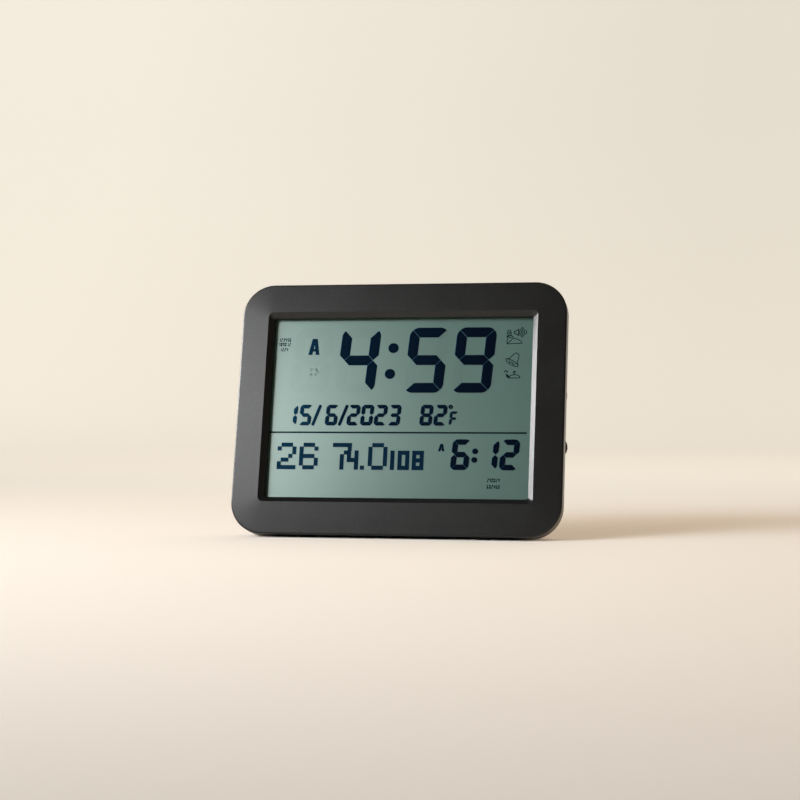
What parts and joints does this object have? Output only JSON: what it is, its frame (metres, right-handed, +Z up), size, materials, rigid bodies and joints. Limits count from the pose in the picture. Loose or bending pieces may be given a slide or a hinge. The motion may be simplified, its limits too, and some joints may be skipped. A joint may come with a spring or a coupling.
{
  "type": "azan clock",
  "caption": "Desk and wall LCD prayer clock: black case with a bevelled window, thumbwheel and slide switch at the side, keys, speaker and cells behind, fold-out leg.",
  "frame": {"origin": "on the table, under the middle of the clock's bounding box as it stands on its open leg", "axes": "+X to the right seen from the front, +Y towards the back, +Z up; the face leans back 13.3 degrees from the vertical"},
  "size_m": [0.226, 0.069, 0.1723],
  "materials": {
    "case_black": "fine satin texture, moulded ABS",
    "cover_black": "spark-textured moulded ABS",
    "key_grey": "smooth satin keycaps",
    "rubber_black": "matt soft rubber",
    "steel": "bright zinc plate",
    "nickel": "nickel plate",
    "polariser": "anti-glare film, pale teal grey",
    "glass_clear": "float glass",
    "acrylic": "polished clear acrylic",
    "white_plastic": "white ABS",
    "board_green": "green solder mask",
    "resin_black": "black epoxy",
    "can_aluminium": "drawn aluminium can",
    "cell_jacket": "printed metal-film jacket over steel",
    "ferrite": "sintered ferrite",
    "cone_paper": "pressed black paper",
    "lamp_white": "phosphor-filled lamp package",
    "wire_red": "PVC sheath"
  },
  "bodies": {
    "case": {"front_bezel": "case_black", "rear_cover": "cover_black", "case_screws": "steel", "stand_pin": "steel", "foot_pad_left": "rubber_black", "foot_pad_right": "rubber_black", "lcd_front_polariser": "polariser", "lcd_front_glass": "glass_clear", "lcd_rear_glass": "glass_clear", "lcd_rear_polariser": "polariser", "light_guide": "acrylic", "light_guide_reflector": "white_plastic", "backlight_board": "board_green", "backlight_leds": "lamp_white", "lcd_holder": "white_plastic", "lcd_holder_screws": "steel", "zebra_strip": "rubber_black", "main_board": "board_green", "main_board_screws": "steel", "controller_chip": "resin_black", "audio_chip": "resin_black", "crystal": "can_aluminium", "capacitors": "can_aluminium", "key_board": "board_green", "key_board_screws": "steel", "key_switches": "resin_black", "volume_pot": "resin_black", "power_switch_body": "nickel", "speaker_frame": "steel", "speaker_magnet": "ferrite", "speaker_cone": "cone_paper", "speaker_screws": "steel", "speaker_wires": "wire_red", "battery_wires": "wire_red", "key_ribbon": "white_plastic", "battery_cell_1": "cell_jacket", "battery_cell_2": "cell_jacket", "battery_cell_3": "cell_jacket", "battery_contact_1": "nickel", "battery_contact_2": "nickel", "battery_contact_3": "nickel", "battery_contact_4": "nickel"},
    "stand": {"stand_leg": "cover_black", "stand_foot": "rubber_black"},
    "door": {"battery_door": "cover_black"},
    "reset_key": {"reset_button": "key_grey"},
    "wheel": {"volume_wheel": "case_black", "volume_rotor": "steel", "wheel_screw": "steel"},
    "power_knob": {"power_switch_knob": "case_black"},
    "mode_key": {"mode_button": "key_grey"},
    "set_key": {"set_button": "key_grey"},
    "up_key": {"up_button": "key_grey"},
    "down_key": {"down_button": "key_grey"},
    "alarm_key": {"alarm_button": "key_grey"},
    "light_key": {"light_button": "key_grey"},
    "city_key": {"city_button": "key_grey"},
    "stop_key": {"stop_button": "key_grey"}
  },
  "joints": [
    {"name": "stand_hinge", "type": "hinge", "parent": "case", "child": "stand", "pos_m": [-0.0002, 0.01237, 0.08119], "axis": [-1, 0, 0], "range_deg": [0, 27.5]},
    {"name": "door_slide", "type": "slide", "parent": "case", "child": "door", "axis": [0, 0.23, 0.9732], "range_m": [0, 0.012]},
    {"name": "mode_press", "type": "slide", "parent": "case", "child": "mode_key", "axis": [0, -0.9732, 0.23], "range_m": [0, 0.0008], "stiffness_N_per_m": 600, "springref_m": -0.001},
    {"name": "set_press", "type": "slide", "parent": "case", "child": "set_key", "axis": [0, -0.9732, 0.23], "range_m": [0, 0.0008], "stiffness_N_per_m": 600, "springref_m": -0.001},
    {"name": "up_press", "type": "slide", "parent": "case", "child": "up_key", "axis": [0, -0.9732, 0.23], "range_m": [0, 0.0008], "stiffness_N_per_m": 600, "springref_m": -0.001},
    {"name": "down_press", "type": "slide", "parent": "case", "child": "down_key", "axis": [0, -0.9732, 0.23], "range_m": [0, 0.0008], "stiffness_N_per_m": 600, "springref_m": -0.001},
    {"name": "alarm_press", "type": "slide", "parent": "case", "child": "alarm_key", "axis": [0, -0.9732, 0.23], "range_m": [0, 0.0008], "stiffness_N_per_m": 600, "springref_m": -0.001},
    {"name": "light_press", "type": "slide", "parent": "case", "child": "light_key", "axis": [0, -0.9732, 0.23], "range_m": [0, 0.0008], "stiffness_N_per_m": 600, "springref_m": -0.001},
    {"name": "city_press", "type": "slide", "parent": "case", "child": "city_key", "axis": [0, -0.9732, 0.23], "range_m": [0, 0.0008], "stiffness_N_per_m": 600, "springref_m": -0.001},
    {"name": "stop_press", "type": "slide", "parent": "case", "child": "stop_key", "axis": [0, -0.9732, 0.23], "range_m": [0, 0.0008], "stiffness_N_per_m": 600, "springref_m": -0.001},
    {"name": "reset_press", "type": "slide", "parent": "case", "child": "reset_key", "axis": [0, -0.9732, 0.23], "range_m": [0, 0.0005], "stiffness_N_per_m": 600, "springref_m": -0.001},
    {"name": "volume_turn", "type": "hinge", "parent": "case", "child": "wheel", "pos_m": [0.10505, -0.00091, 0.0607], "axis": [0, 0.9732, -0.23], "range_deg": [-135, 135]},
    {"name": "power_slide", "type": "slide", "parent": "case", "child": "power_knob", "axis": [0, 0.23, 0.9732], "range_m": [0, 0.004]}
  ]
}
